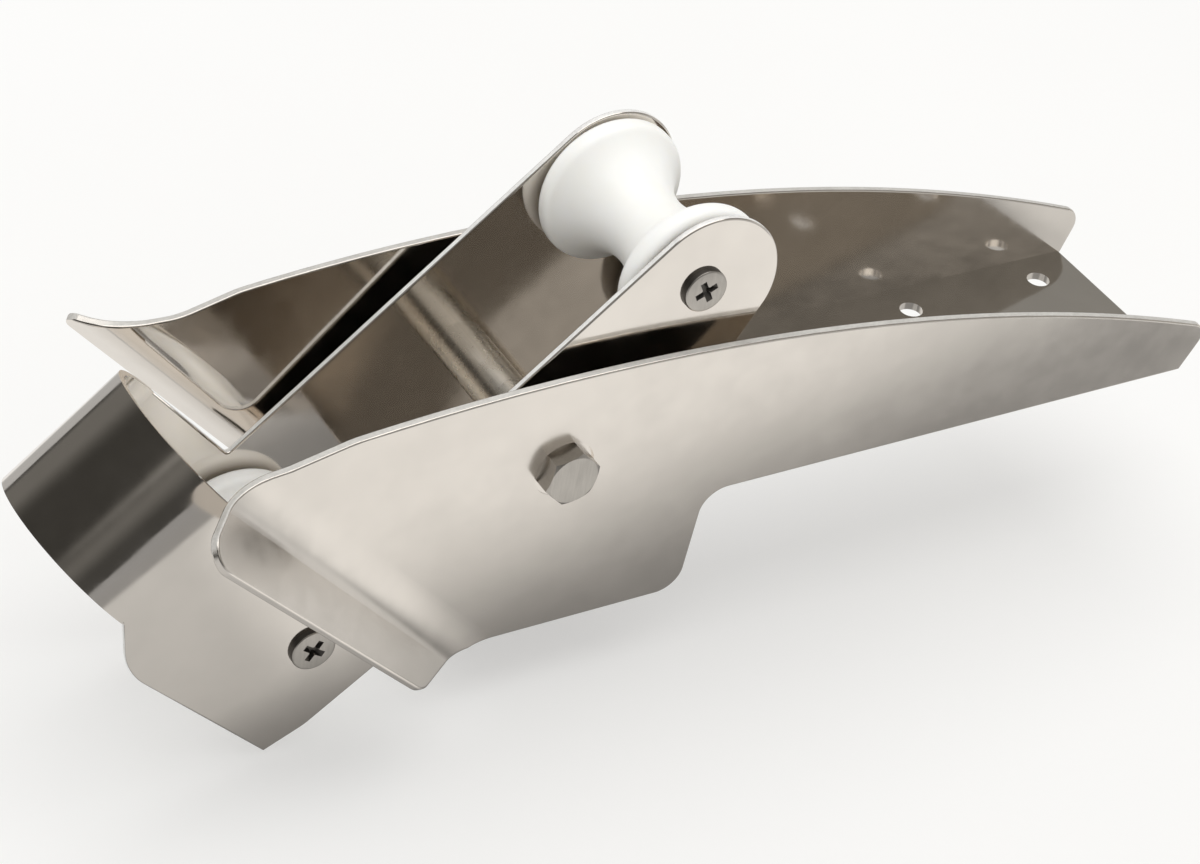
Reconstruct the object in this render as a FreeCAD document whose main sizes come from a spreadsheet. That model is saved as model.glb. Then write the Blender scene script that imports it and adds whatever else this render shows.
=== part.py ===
import FreeCAD
import Part
import Sketcher
import math
import os
import re
from FreeCAD import Placement, Rotation, Vector

# Tilting bow roller, in millimetres. +X points over the bow, +Y to port and +Z up.
# The origin is the centre of the deck bolt pattern, on the underside of the base.
# The cradle is drawn level in a frame of its own, with the pivot at its origin, and is then tilted nose down.

SIZES = [
    ("channel_gauge", 3.0, "thickness of the channel's sheet"),
    ("cradle_gauge", 2.5, "thickness of the cradle's sheet"),
    ("edge_round", 0.7, "rounding of every polished sheet edge"),
    ("cheek_clearance", 2.5, "gap between the cradle and each cheek at the underside of the base"),
    ("cheek_lean", 3.7, "outward lean of each cheek, in degrees"),
    ("base_rear", 50.0, "from the bolt pattern's centre to the rear end of the base"),
    ("hole_pitch_long", 60.0, "deck bolt spacing along the channel"),
    ("hole_pitch_wide", 48.0, "deck bolt spacing across the channel"),
    ("deck_hole_radius", 4.5, "clearance hole for an M8 deck bolt"),
    ("tail_overhang", 8.4, "how far the cheek's tail overhangs the base"),
    ("tail_height", 18.7, "height of the cheek's tail"),
    ("tail_round", 7.0, "rounding of the tail"),
    ("crest_radius", 785.0, "radius of the cheek's arched top edge"),
    ("shoulder_long", 303.0, "where the arched top edge ends"),
    ("shoulder_height", 63.0, "height of the top edge there"),
    ("lip_top_long", 324.5, "where the top edge turns along the flared lip"),
    ("lip_top_drop", 5.4, "how far the top edge has come down from the shoulder there"),
    ("edge_blend", 32.0, "radius that blends the top edge into the lip"),
    ("skirt_long", 162.5, "where the skirt starts at its lowest edge"),
    ("skirt_step_long", 160.3, "where the skirt leaves the deck line"),
    ("skirt_depth", 44.5, "depth of the skirt below the deck line"),
    ("skirt_round", 10.0, "rounding of the skirt's two rear corners"),
    ("lip_start_long", 291.2, "where the bend of the flare crosses the deck line"),
    ("lip_rake", 43.0, "rake of the bend from upright, in degrees"),
    ("lip_angle", 57.0, "how far the lip is bent outward, in degrees"),
    ("lip_bend_radius", 17.0, "radius of the bend on the lip's outer face"),
    ("cut_lead", 2.0, "how far behind the bend's foot the lower edge begins to rise"),
    ("port_lip_fall", 0.13, "fall of the port lip's top edge for each unit forward"),
    ("port_rim_long", 312.8, "where the port lip's front edge crosses the deck line, seen from the side"),
    ("port_rim_rake", 44.2, "rake of that edge from upright, in degrees"),
    ("starboard_lip_fall", -0.04, "fall of the starboard lip's top edge for each unit forward"),
    ("starboard_rim_long", 305.4, "where the starboard lip's front edge crosses the deck line"),
    ("starboard_rim_rake", 43.0, "rake of that edge from upright, in degrees"),
    ("port_lip_round", 8.0, "rounding of the port lip's upper corner"),
    ("starboard_lip_round", 4.5, "rounding of the starboard lip's upper corner"),
    ("lip_low_round", 10.0, "rounding of the lip's lower corner"),
    ("pivot_long", 222.0, "place of the pivot along the channel"),
    ("pivot_height", 29.0, "height of the pivot"),
    ("bolt_radius", 6.0, "M12 pivot bolt"),
    ("bolt_hole_radius", 6.2, "hole for it in each cheek"),
    ("bolt_head_flats", 18.0, "width across flats of the head and the nut"),
    ("bolt_head_height", 7.5, "height of the bolt's head"),
    ("bolt_head_turn", 45.6, "angle of one corner of the head, in degrees"),
    ("bolt_end_length", 2.0, "bolt end that stands out of the nut"),
    ("seat_radius", 11.2, "spot face that squares the leaning cheek to the bolt"),
    ("seat_depth", 0.75, "depth of the spot face at the bolt's axis"),
    ("nut_height", 9.0, "height of the nut's hexagon"),
    ("collar_height", 3.0, "height of the nut's round collar"),
    ("collar_radius", 7.9, "outer radius of the collar"),
    ("collar_wall", 0.9, "wall of the collar round its nylon ring"),
    ("nylon_lip", 0.4, "how far the ring stands below the collar's rim"),
    ("running_clearance", 0.08, "radial clearance of each part that turns on another"),
    ("spacer_radius", 11.0, "outer radius of the pivot spacers"),
    ("side_clearance", 0.3, "gap between the cradle and each spacer"),
    ("stop_clearance", 0.3, "gap between the cradle's floor and the base at rest"),
    ("rest_tilt", 40.6, "how far the cradle rests nose down, in degrees"),
    ("cradle_width", 70.0, "width over the cradle's side plates"),
    ("cradle_top", 36.0, "height of the side plates above the pivot"),
    ("cradle_depth", 20.5, "depth of the cradle below the pivot"),
    ("head_back", 77.0, "from the pivot back to the centre of the round head"),
    ("head_radius", 25.0, "radius of the round head"),
    ("head_lean", 10.5, "lean of the edge below the round head, in degrees"),
    ("heel_depth", 10.3, "depth of the heel below the pivot"),
    ("heel_round", 5.5, "rounding of the heel"),
    ("floor_back", 70.0, "rear end of the cradle's floor"),
    ("floor_front", 57.0, "front end of the cradle's floor"),
    ("nose_long", 139.7, "lower corner of the nose"),
    ("nose_depth", 11.5, "depth of that corner below the pivot"),
    ("chin_setback", 15.7, "how far behind that corner the nose's lower edge turns up"),
    ("chin_drop", 4.3, "how far that turn lies below the corner"),
    ("brow_lead", 5.9, "how far the nose's upper corner stands ahead of the lower one"),
    ("nose_face", 73.0, "height of the nose's front edge"),
    ("brow_round", 25.0, "rounding of that corner"),
    ("chin_round", 20.0, "rounding of the chin"),
    ("hood_setback", 6.7, "how far behind the nose's lower corner the hood's front rim lies"),
    ("hood_length", 51.0, "length of the hood, rim to rim"),
    ("hood_meet_height", 83.5, "height at which the nose meets the hood's front rim"),
    ("hood_spring", 90.2, "height at which the half round hood begins"),
    ("notch_round", 1.6, "rounding of the notch behind the hood"),
    ("hinge_tube_radius", 9.0, "outer radius of the hinge tube"),
    ("axle_height", 11.0, "height of both roller axles above the pivot"),
    ("rear_axle_back", 74.0, "from the pivot back to the rear axle"),
    ("front_axle_setback", 38.2, "how far behind the nose's lower corner the front axle lies"),
    ("axle_radius", 6.0, "radius of the axle sleeves"),
    ("roller_radius", 27.0, "radius of the rollers' flanges"),
    ("roller_waist_radius", 14.0, "radius of the rollers' waist"),
    ("roller_rim", 7.0, "width of the rim outside the waisted stretch, before rounding"),
    ("roller_rim_round", 3.5, "rounding of the flanges towards their outer faces"),
    ("roller_throat_round", 4.0, "rounding of the flanges towards the waist"),
    ("roller_float", 0.3, "gap between each roller and its washers"),
    ("washer_gauge", 1.0, "thickness of the roller washers"),
    ("washer_radius", 12.0, "outer radius of the roller washers"),
    ("washer_slack", 0.2, "radial clearance of the washers on the axle"),
    ("screw_radius", 4.0, "M8 roller screw"),
    ("screw_slack", 0.1, "radial clearance of the screw's shank"),
    ("screw_length", 16.0, "length of the screw below its head"),
    ("screw_head_radius", 8.0, "radius of the screw's head"),
    ("screw_head_height", 2.5, "height of the screw's head"),
    ("screw_head_round", 0.5, "rounding of the head's rim"),
    ("rear_recess_turn", 25.6, "turn of the rear screws' recess, in degrees"),
    ("front_recess_turn", 55.8, "turn of the front screws' recess, in degrees"),
    ("recess_reach", 4.0, "half of the cross recess's span"),
    ("recess_width", 1.8, "width of the recess's arms"),
    ("recess_depth", 1.6, "depth of the recess"),
]

ALIASES = {alias for alias, value, meaning in SIZES}

# points nearer to each other than this, in millimetres, count as one
CLOSE = 0.01

# faces that meet at more than this many degrees form a sharp edge
SHARP_ANGLE = 30

os.makedirs("parts", exist_ok=True)
doc = FreeCAD.newDocument("tilting_bow_roller")
sheet = doc.addObject("Spreadsheet::Sheet", "sizes")
for row, (alias, value, meaning) in enumerate(SIZES, 1):
    sheet.set("A%d" % row, alias)
    sheet.set("B%d" % row, str(value))
    sheet.set("C%d" % row, meaning)
    sheet.setAlias("B%d" % row, alias)
doc.recompute()

# measures that follow from the sizes
cheek_inside = "(cradle_width / 2 + cheek_clearance)"
cheek_outside = "(%s + channel_gauge / cos(cheek_lean))" % cheek_inside
cheek_outside_at_pivot = "(%s + pivot_height * tan(cheek_lean))" % cheek_outside
bolt_seat = "(%s - seat_depth)" % cheek_outside_at_pivot
stop_back = "((pivot_height - channel_gauge - cradle_depth * cos(rest_tilt)) / sin(rest_tilt))"
base_front = (
    "(pivot_long + %s * cos(rest_tilt) - cradle_depth * sin(rest_tilt)"
    " - stop_clearance / sin(rest_tilt))" % stop_back
)
sheet_reach = "(lip_start_long + base_rear)"
lip_top_height = "(shoulder_height - lip_top_drop)"
skirt_bend_long = "(lip_start_long - skirt_depth / cos(cheek_lean) * tan(lip_rake))"
tube_bore = "(bolt_radius + running_clearance)"
cradle_inside = "(cradle_width / 2 - cradle_gauge)"
head_centre = "(cradle_top - head_radius)"
hood_front = "(nose_long - hood_setback)"
hood_rear = "(%s - hood_length)" % hood_front
front_axle_long = "(nose_long - front_axle_setback)"
roller_half = "(%s - washer_gauge - roller_float)" % cradle_inside
throat_half = "(%s - roller_rim)" % roller_half
roller_depth = "(roller_radius - roller_waist_radius)"

# a level cut across the flat sheet rises by this much for each unit forward, once the lip is bent
bent_cut_rise = (
    "((sin(lip_rake) * (1 - cos(lip_angle)) * cos(cheek_lean) - sin(lip_angle) * sin(cheek_lean))"
    " / (sin(lip_rake) ^ 2 / cos(lip_rake) + cos(lip_angle) * cos(lip_rake)))"
)

# where a lip's front edge meets its top and lower edges; SIDE stands for port or starboard
rim_top_height = (
    "((%s - SIDE_lip_fall * (SIDE_rim_long - lip_top_long))"
    " / (1 + SIDE_lip_fall * tan(SIDE_rim_rake)))" % lip_top_height
)
rim_low_height = (
    "((%s * (SIDE_rim_long - %s) - skirt_depth)"
    " / (1 - %s * tan(SIDE_rim_rake)))" % (bent_cut_rise, skirt_bend_long, bent_cut_rise)
)

# a hexagon's corners stand further out than its flats
hex_flat = "(bolt_head_flats / 2)"
hex_corner = "(%s / cos(30))" % hex_flat


def formula(text):
    """The expression with every size's name pointing at its cell in the sheet."""
    return re.sub(r"[a-z_]+", lambda word: ("sizes." if word.group() in ALIASES else "") + word.group(), text)


def measure(text):
    return float(sheet.evalExpression(formula(text)))


def bind(thing, **properties):
    for name, text in properties.items():
        thing.setExpression(name, formula(text))


def place(thing, along="0", across="0", up="0", axis=(1, 0, 0), angle="0"):
    """Puts a piece at a point, turned about an axis through it."""
    thing.Placement = Placement(
        Vector(measure(along), measure(across), measure(up)),
        Rotation(Vector(*axis), measure(angle)),
    )
    thing.setExpression("Placement.Base.x", formula(along))
    thing.setExpression("Placement.Base.y", formula(across))
    thing.setExpression("Placement.Base.z", formula(up))
    thing.setExpression("Placement.Rotation.Angle", formula(angle))


def place_on_cradle(thing):
    place(thing, along="pivot_long", up="pivot_height", axis=(0, 1, 0), angle="rest_tilt")


def new_body(name):
    body = doc.addObject("PartDesign::Body", name)
    body.Label = name
    return body


def sketch_on(body, role, name, shift=("0", "0", "0"), axis=(1, 0, 0), angle="0"):
    """A sketch on one of the body's own origin planes, shifted and turned as seen in that plane."""
    sketch = body.newObject("Sketcher::SketchObject", name)
    plane = [feature for feature in body.Origin.OriginFeatures if feature.Role == role][0]
    sketch.AttachmentSupport = (plane, "")
    sketch.MapMode = "FlatFace"
    sketch.AttachmentOffset = Placement(
        Vector(*[measure(text) for text in shift]),
        Rotation(Vector(*axis), measure(angle)),
    )
    for letter, text in zip("xyz", shift):
        sketch.setExpression("AttachmentOffset.Base." + letter, formula(text))
    sketch.setExpression("AttachmentOffset.Rotation.Angle", formula(angle))
    return sketch


def fix_number(sketch, constraint, text):
    index = sketch.addConstraint(constraint)
    sketch.setExpression("Constraints[%d]" % index, formula(text))


def draw_outline(sketch, corners, closed=True):
    """An outline of lines and arcs.

    Each corner is (x, y), or (x, y, radius) where an arc leads on to the next corner. A positive radius curves
    to the left on the way to the next corner, a negative one to the right.
    """
    points = [Vector(measure(corner[0]), measure(corner[1]), 0) for corner in corners]
    ends = []
    for index, corner in enumerate(corners if closed else corners[:-1]):
        start = points[index]
        end = points[(index + 1) % len(points)]
        if len(corner) == 2:
            number = sketch.addGeometry(Part.LineSegment(start, end))
            ends.append((number, 1, 2))
            continue
        radius = measure(corner[2])
        chord = end - start
        left = Vector(-chord.y, chord.x, 0).normalize()
        height = math.sqrt(radius ** 2 - (chord.Length / 2) ** 2)
        centre = start + chord * 0.5 + left * math.copysign(height, radius)
        angles = [math.atan2((point - centre).y, (point - centre).x) for point in (start, end)]
        if radius < 0:
            angles.reverse()
        circle = Part.Circle(centre, Vector(0, 0, 1), abs(radius))
        number = sketch.addGeometry(Part.ArcOfCircle(circle, angles[0], angles[1]))
        fix_number(sketch, Sketcher.Constraint("Radius", number, abs(radius)), "abs(%s)" % corner[2])
        ends.append((number, 1, 2) if radius > 0 else (number, 2, 1))
    for index, point in enumerate(points):
        number, start_end, far_end = ends[min(index, len(ends) - 1)]
        here = far_end if index == len(ends) else start_end
        if closed or index < len(ends) - 1:
            following = ends[(index + 1) % len(ends)]
            sketch.addConstraint(Sketcher.Constraint("Coincident", number, far_end, following[0], following[1]))
        fix_number(sketch, Sketcher.Constraint("DistanceX", -1, 1, number, here, point.x), corners[index][0])
        fix_number(sketch, Sketcher.Constraint("DistanceY", -1, 1, number, here, point.y), corners[index][1])


def draw_circle(sketch, x, y, radius):
    centre = Vector(measure(x), measure(y), 0)
    number = sketch.addGeometry(Part.Circle(centre, Vector(0, 0, 1), measure(radius)))
    fix_number(sketch, Sketcher.Constraint("Radius", number, measure(radius)), radius)
    fix_number(sketch, Sketcher.Constraint("DistanceX", -1, 1, number, 3, centre.x), x)
    fix_number(sketch, Sketcher.Constraint("DistanceY", -1, 1, number, 3, centre.y), y)


def add_feature(body, kind, sketch, length=None, side="One side", through=False, backward=False):
    """A pad or pocket of the sketch; a pocket has to take material away, so its volume is compared."""
    before = body.Shape.Volume if body.Tip else 0.0
    feature = body.newObject("PartDesign::" + kind, sketch.Name + "_" + kind.lower())
    feature.Profile = sketch
    feature.SideType = side
    feature.Reversed = backward
    if through:
        feature.Type = "ThroughAll"
    else:
        feature.setExpression("Length", formula(length))
    doc.recompute()
    if kind == "Pocket" and not body.Shape.Volume < before:
        raise RuntimeError("nothing was cut by " + feature.Name)
    return feature


def turn(body, kind, sketch, axis, angle=360.0):
    """A revolution or groove of the sketch about one of its own axes."""
    feature = body.newObject("PartDesign::" + kind, sketch.Name + "_" + kind.lower())
    feature.Profile = sketch
    feature.ReferenceAxis = (sketch, [axis])
    feature.Angle = angle
    doc.recompute()
    return feature


def round_edges(body, name, edges, radius):
    """Rounds the edges of the body's last feature that the given test picks."""
    base = body.Tip
    chosen = ["Edge%d" % (index + 1) for index, edge in enumerate(base.Shape.Edges) if edges(edge)]
    if not chosen:
        raise RuntimeError("no edge to round for " + name)
    feature = body.newObject("PartDesign::Fillet", name)
    feature.Base = (base, chosen)
    feature.setExpression("Radius", formula(radius))
    doc.recompute()
    return feature


def sharp_edges(body, keep=lambda point: True):
    """Picks the edges where two faces meet at more than 30 degrees, wherever keep allows it."""
    shape = body.Tip.Shape

    def is_sharp(edge):
        faces = shape.ancestorsOfType(edge, Part.Face)
        middle = edge.valueAt((edge.FirstParameter + edge.LastParameter) / 2)
        if len(faces) != 2 or not keep(middle):
            return False
        normals = [face.normalAt(*face.Surface.parameter(middle)) for face in faces]
        return math.degrees(normals[0].getAngle(normals[1])) > SHARP_ANGLE

    return is_sharp


def ring(name, outer, bore, start, length):
    """A tube along Y, from start, with a straight bore."""
    parts = []
    for role, radius in (("outside", outer), ("bore", bore)):
        cylinder = doc.addObject("Part::Cylinder", name + "_" + role)
        bind(cylinder, Radius=radius, Height=length)
        place(cylinder, across=start, angle="-90")
        parts.append(cylinder)
    cut = doc.addObject("Part::Cut", name)
    cut.Base, cut.Tool = parts
    cut.Label = name
    return cut


def pair(name, first, second):
    group = doc.addObject("Part::Compound", name)
    group.Links = [first, second]
    group.Label = name
    return group


def make_base_plate():
    body = new_body("base_plate")
    low = cheek_inside
    high = "(%s + channel_gauge * tan(cheek_lean))" % cheek_inside
    section = sketch_on(body, "YZ_Plane", "base_section", shift=("0", "0", "-base_rear"))
    draw_outline(section, [
        ("-" + low, "0"),
        (low, "0"),
        (high, "channel_gauge"),
        ("-" + high, "channel_gauge"),
    ])
    add_feature(body, "Pad", section, "base_rear + " + base_front)
    holes = sketch_on(body, "XY_Plane", "deck_holes")
    for along in ("-", ""):
        for across in ("-", ""):
            middle = (along + "hole_pitch_long / 2", across + "hole_pitch_wide / 2")
            draw_circle(holes, *middle, "deck_hole_radius")
    add_feature(body, "Pocket", holes, side="Symmetric", through=True)
    # both ends are rounded above and below, and the long edges below, where the weld is dressed
    wide = measure("hole_pitch_wide")

    def is_dressed(edge):
        box = edge.BoundBox
        return box.YLength > wide or (box.XLength > wide and box.ZMax < CLOSE)

    round_edges(body, "base_edges", is_dressed, "edge_round")
    return body


def make_cheek(name, side):
    """The leaning side plate with its front bent outward, drawn as the port one.

    The plate is drawn upright, its outer face in the XZ plane, and then leaned outward. Its outer face is bent
    first and cut to the outline that is seen from the side, and is then thickened inward, so that every edge
    of the sheet stays square to it, as on a plate that is cut flat and bent. The two lips are trimmed by hand:
    each has its own upper corner and front edge.
    """
    line = doc.addObject("Sketcher::SketchObject", name + "_line")
    place(line, along="lip_start_long", axis=(0, 1, 0), angle="lip_rake")
    bend_start = "(lip_bend_radius * tan(lip_angle / 2))"
    uncut_lip = "(%s_rim_long - lip_start_long + skirt_depth)" % side
    draw_outline(line, [
        ("-" + sheet_reach, "0"),
        ("-" + bend_start, "0", "lip_bend_radius"),
        (bend_start + " * cos(lip_angle)", bend_start + " * sin(lip_angle)"),
        (uncut_lip + " * cos(lip_angle)", uncut_lip + " * sin(lip_angle)"),
    ], closed=False)
    bent = extrude(name + "_bent", line, "2 * " + sheet_reach)

    outline = doc.addObject("Sketcher::SketchObject", name + "_outline")
    place(outline, angle="90 + cheek_lean")
    tail = ("-(base_rear + tail_overhang)", "tail_height")
    shoulder = ("shoulder_long", "shoulder_height")
    lip_top = ("lip_top_long", lip_top_height)
    rim_top = rim_corner(side, rim_top_height)
    rim_low = rim_corner(side, rim_low_height)
    skirt = ("skirt_long", "-skirt_depth")
    step = ("skirt_step_long", "0")
    draw_outline(outline, [
        ("-base_rear", "0"),
        tail + ("-1 * crest_radius",),
        shoulder,
        lip_top,
        rim_top,
        rim_low,
        (skirt_bend_long + " - cut_lead", "-skirt_depth"),
        skirt,
        step,
    ])
    field = extrude(name + "_field", outline, "2 * cradle_width", solid=True)

    skin = doc.addObject("Part::Common", name + "_skin")
    skin.Base = bent
    skin.Tool = field
    blank = doc.addObject("Part::Offset", name + "_blank")
    blank.Source = skin
    blank.Fill = True
    bind(blank, Value="-channel_gauge")
    doc.recompute()

    body = new_body(name)
    body.BaseFeature = blank
    place(body, across=cheek_outside, angle="-cheek_lean")
    doc.recompute()
    for corner, places, radius in (
        ("tail", [tail], "tail_round"),
        ("blend", [shoulder, lip_top], "edge_blend"),
        ("skirt", [skirt, step], "skirt_round"),
        ("rim_top", [rim_top], side + "_lip_round"),
        ("rim_low", [rim_low], "lip_low_round"),
    ):
        round_edges(body, name + "_" + corner, edges_through(body, places), radius)
    round_edges(body, name + "_polish", sharp_edges(body), "edge_round")

    # the bolt hole and its spot face lie square to the channel, not to the leaning sheet
    hole = sketch_on(body, "XZ_Plane", name + "_hole", angle="cheek_lean")
    draw_circle(hole, "pivot_long", "pivot_height", "bolt_hole_radius")
    add_feature(body, "Pocket", hole, side="Symmetric", through=True)
    rise = "(pivot_height * tan(cheek_lean) - seat_depth)"
    shift = ("0", rise + " * sin(cheek_lean)", "-1 * %s * cos(cheek_lean)" % rise)
    seat = sketch_on(body, "XZ_Plane", name + "_seat", shift, angle="cheek_lean")
    draw_circle(seat, "pivot_long", "pivot_height", "seat_radius")
    add_feature(body, "Pocket", seat, through=True)
    return body


def rim_corner(side, height):
    """The place on the lip's front edge at a height, as seen from the side."""
    return tuple(text.replace("SIDE", side) for text in (
        "SIDE_rim_long + %s * tan(SIDE_rim_rake)" % height,
        height,
    ))


def mirrored(name, source):
    """The starboard twin of a port piece."""
    twin = doc.addObject("Part::Mirroring", name)
    twin.Source = source
    twin.Base = Vector(0, 0, 0)
    twin.Normal = Vector(0, 1, 0)
    twin.Label = name
    return twin


def extrude(name, sketch, length, solid=False):
    extrusion = doc.addObject("Part::Extrusion", name)
    extrusion.Base = sketch
    extrusion.DirMode = "Normal"
    extrusion.Symmetric = True
    extrusion.Solid = solid
    bind(extrusion, LengthFwd=length)
    return extrusion


def edges_through(body, places):
    """Picks the edges through the leaning sheet whose outer end lies at one of the places of the side view."""
    points = [(measure(x), measure(z)) for x, z in places]
    longest = 2 * measure("channel_gauge")
    lean = math.radians(measure("cheek_lean"))

    def at_place(edge):
        if edge.Length > longest:
            return False
        ends = [(v.X, v.Z * math.cos(lean) - v.Y * math.sin(lean)) for v in edge.Vertexes]
        return any(math.dist(end, point) < CLOSE for end in ends for point in points)

    return at_place


def make_pivot_bolt():
    """A hex head bolt with its seat at the origin of its own frame and its head towards +Y."""
    body = new_body("pivot_bolt")
    place(body, along="pivot_long", across=bolt_seat, up="pivot_height")
    add_hexagon(body, "bolt_head", "bolt_head_height", backward=True)
    shank = sketch_on(body, "XZ_Plane", "bolt_shank")
    draw_circle(shank, "0", "0", "bolt_radius")
    add_feature(body, "Pad", shank, "2 * %s + nut_height + collar_height + bolt_end_length" % bolt_seat)
    chamfer_hexagon(body, "bolt_head", "bolt_head_height", "-1")
    return body


def make_pivot_nut():
    """The hex nut on the starboard side, with the round collar that holds its nylon ring."""
    body = new_body("pivot_nut")
    place(body, along="pivot_long", across="-1 * " + bolt_seat, up="pivot_height")
    add_hexagon(body, "nut", "nut_height")
    collar = sketch_on(body, "XZ_Plane", "nut_collar", ("0", "0", "nut_height"))
    draw_circle(collar, "0", "0", "collar_radius")
    add_feature(body, "Pad", collar, "collar_height")
    bore = sketch_on(body, "XZ_Plane", "nut_bore")
    draw_circle(bore, "0", "0", tube_bore)
    add_feature(body, "Pocket", bore, side="Symmetric", through=True)
    pocket = sketch_on(body, "XZ_Plane", "nut_ring_seat", ("0", "0", "nut_height"))
    draw_circle(pocket, "0", "0", "collar_radius - collar_wall")
    add_feature(body, "Pocket", pocket, through=True, backward=True)
    chamfer_hexagon(body, "nut", "nut_height", "1")
    return body


def add_hexagon(body, name, height, backward=False):
    outline = sketch_on(body, "XZ_Plane", name)
    angles = ["(bolt_head_turn + %d)" % (60 * corner) for corner in range(6)]
    draw_outline(outline, [(hex_corner + " * cos" + angle, hex_corner + " * sin" + angle) for angle in angles])
    add_feature(body, "Pad", outline, height, backward=backward)


def chamfer_hexagon(body, name, height, outward):
    """Cuts the corners of the hexagon's outer end at 30 degrees, down to its flats.

    The sign of outward says whether that end faces -Y.
    """
    section = sketch_on(body, "XY_Plane", name + "_corner")
    draw_outline(section, [
        (hex_flat, "-1 * %s * %s" % (outward, height)),
        ("bolt_head_flats", "-1 * %s * %s" % (outward, height)),
        ("bolt_head_flats", "-1 * %s * (%s - %s * tan(30))" % (outward, height, hex_flat)),
    ])
    before = body.Shape.Volume
    turn(body, "Groove", section, "V_Axis")
    if not body.Shape.Volume < before:
        raise RuntimeError("the corners were not cut on " + name)


def make_spacer(name):
    """A plain tube on the bolt, from the cheek's inner face to a running gap beside the cradle."""
    start = "(cradle_width / 2 + side_clearance)"
    lowest = "(%s + (pivot_height - spacer_radius) * tan(cheek_lean))" % cheek_inside
    spacer = ring(name, "spacer_radius", tube_bore, start, "%s - %s" % (lowest, start))
    place(spacer, along="pivot_long", up="pivot_height")
    return spacer


def make_cradle_port_cheek():
    """The flat side plate: a round head at the rear, and a nose that rises to the hood at the front."""
    body = new_body("cradle_port_cheek")
    place_on_cradle(body)
    plate = sketch_on(body, "XZ_Plane", "cradle_outline", ("0", "0", "-cradle_width / 2"))
    nape = (
        "(head_back + head_radius * cos(head_lean))",
        "(%s - head_radius * sin(head_lean))" % head_centre,
    )
    heel = ("-%s + (%s + heel_depth) * tan(head_lean)" % nape, "-heel_depth")
    floor_end = ("-floor_back", "-cradle_depth")
    chin = ("nose_long - chin_setback", "-nose_depth - chin_drop")
    brow = ("nose_long + brow_lead", "nose_face - nose_depth")
    notch = (hood_rear, "cradle_top")
    draw_outline(plate, [
        ("-head_back", "cradle_top", "head_radius"),
        ("-1 * " + nape[0], nape[1]),
        heel,
        floor_end,
        ("floor_front", "-cradle_depth"),
        chin,
        ("nose_long", "-nose_depth"),
        brow,
        (hood_front, "hood_meet_height"),
        (hood_front, "hood_spring"),
        (hood_rear, "hood_spring"),
        notch,
    ])
    add_feature(body, "Pad", plate, "cradle_gauge")
    for name, place_of, radius in (
        ("heel", heel, "heel_round"),
        ("chin", chin, "chin_round"),
        ("brow", brow, "brow_round"),
        ("notch", notch, "notch_round"),
    ):
        round_edges(body, "cradle_" + name, plate_edges(body, place_of), radius)
    spring = measure("hood_spring")
    round_edges(
        body,
        "cradle_polish",
        sharp_edges(body, lambda point: point.z < spring - CLOSE),
        "edge_round",
    )
    holes = sketch_on(body, "XZ_Plane", "cradle_holes")
    draw_circle(holes, "0", "0", tube_bore)
    draw_circle(holes, "-rear_axle_back", "axle_height", "screw_radius + screw_slack")
    draw_circle(holes, front_axle_long, "axle_height", "screw_radius + screw_slack")
    add_feature(body, "Pocket", holes, side="Symmetric", through=True)
    return body


def plate_edges(body, place_of):
    """Picks the edge straight through the cradle's side plate at one place of its outline."""
    x, z = measure(place_of[0]), measure(place_of[1])
    return lambda edge: len(edge.Vertexes) == 2 and all(
        math.hypot(vertex.X - x, vertex.Z - z) < CLOSE for vertex in edge.Vertexes
    )


def make_cradle_floor():
    body = new_body("cradle_floor")
    place_on_cradle(body)
    section = sketch_on(body, "XZ_Plane", "floor_section")
    draw_outline(section, [
        ("-floor_back", "-cradle_depth"),
        ("floor_front", "-cradle_depth"),
        ("floor_front", "cradle_gauge - cradle_depth"),
        ("-floor_back", "cradle_gauge - cradle_depth"),
    ])
    add_feature(body, "Pad", section, "2 * " + cradle_inside, side="Symmetric")
    width = measure(cradle_inside)
    round_edges(
        body,
        "floor_ends",
        lambda edge: abs(edge.Vertexes[0].Y - edge.Vertexes[-1].Y) > width,
        "edge_round",
    )
    return body


def make_nose_hood():
    """The half round hood, turned about the axis on which its two ends meet the side plates."""
    body = new_body("nose_hood")
    place_on_cradle(body)
    section = sketch_on(body, "XY_Plane", "hood_section", ("0", "0", "hood_spring"))
    draw_outline(section, [
        (hood_rear, cradle_inside),
        (hood_front, cradle_inside),
        (hood_front, "cradle_width / 2"),
        (hood_rear, "cradle_width / 2"),
    ])
    turn(body, "Revolution", section, "H_Axis", 180.0)
    if body.Shape.BoundBox.ZMax < body.Shape.BoundBox.ZMin + measure("cradle_width") / 4:
        raise RuntimeError("the hood is not a half round")
    round_edges(
        body,
        "hood_rims",
        lambda edge: edge.Curve.TypeId == "Part::GeomCircle",
        "edge_round",
    )
    return body


def make_roller(name, along):
    """A waisted roller with rounded flange rims, turned about its axle."""
    body = new_body(name)
    place_at_axle(body, along)
    section = sketch_on(body, "XY_Plane", name + "_section")
    depth = roller_depth
    throat = "(-1 * (%s ^ 2 + %s ^ 2) / (2 * %s))" % (throat_half, depth, depth)
    draw_outline(section, [
        ("axle_radius + running_clearance", "-1 * " + roller_half),
        ("roller_radius", "-1 * " + roller_half),
        ("roller_radius", "-1 * " + throat_half, throat),
        ("roller_radius", throat_half),
        ("roller_radius", roller_half),
        ("axle_radius + running_clearance", roller_half),
    ])
    turn(body, "Revolution", section, "V_Axis")
    rim = measure("roller_radius")
    inner = measure(throat_half) + CLOSE
    round_edges(
        body,
        name + "_rims",
        lambda edge: is_circle(edge, rim) and abs(edge.Curve.Center.y) > inner,
        "roller_rim_round",
    )
    round_edges(
        body,
        name + "_throat",
        lambda edge: is_circle(edge, rim) and abs(abs(edge.Curve.Center.y) - measure(throat_half)) < CLOSE,
        "roller_throat_round",
    )
    return body


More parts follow.
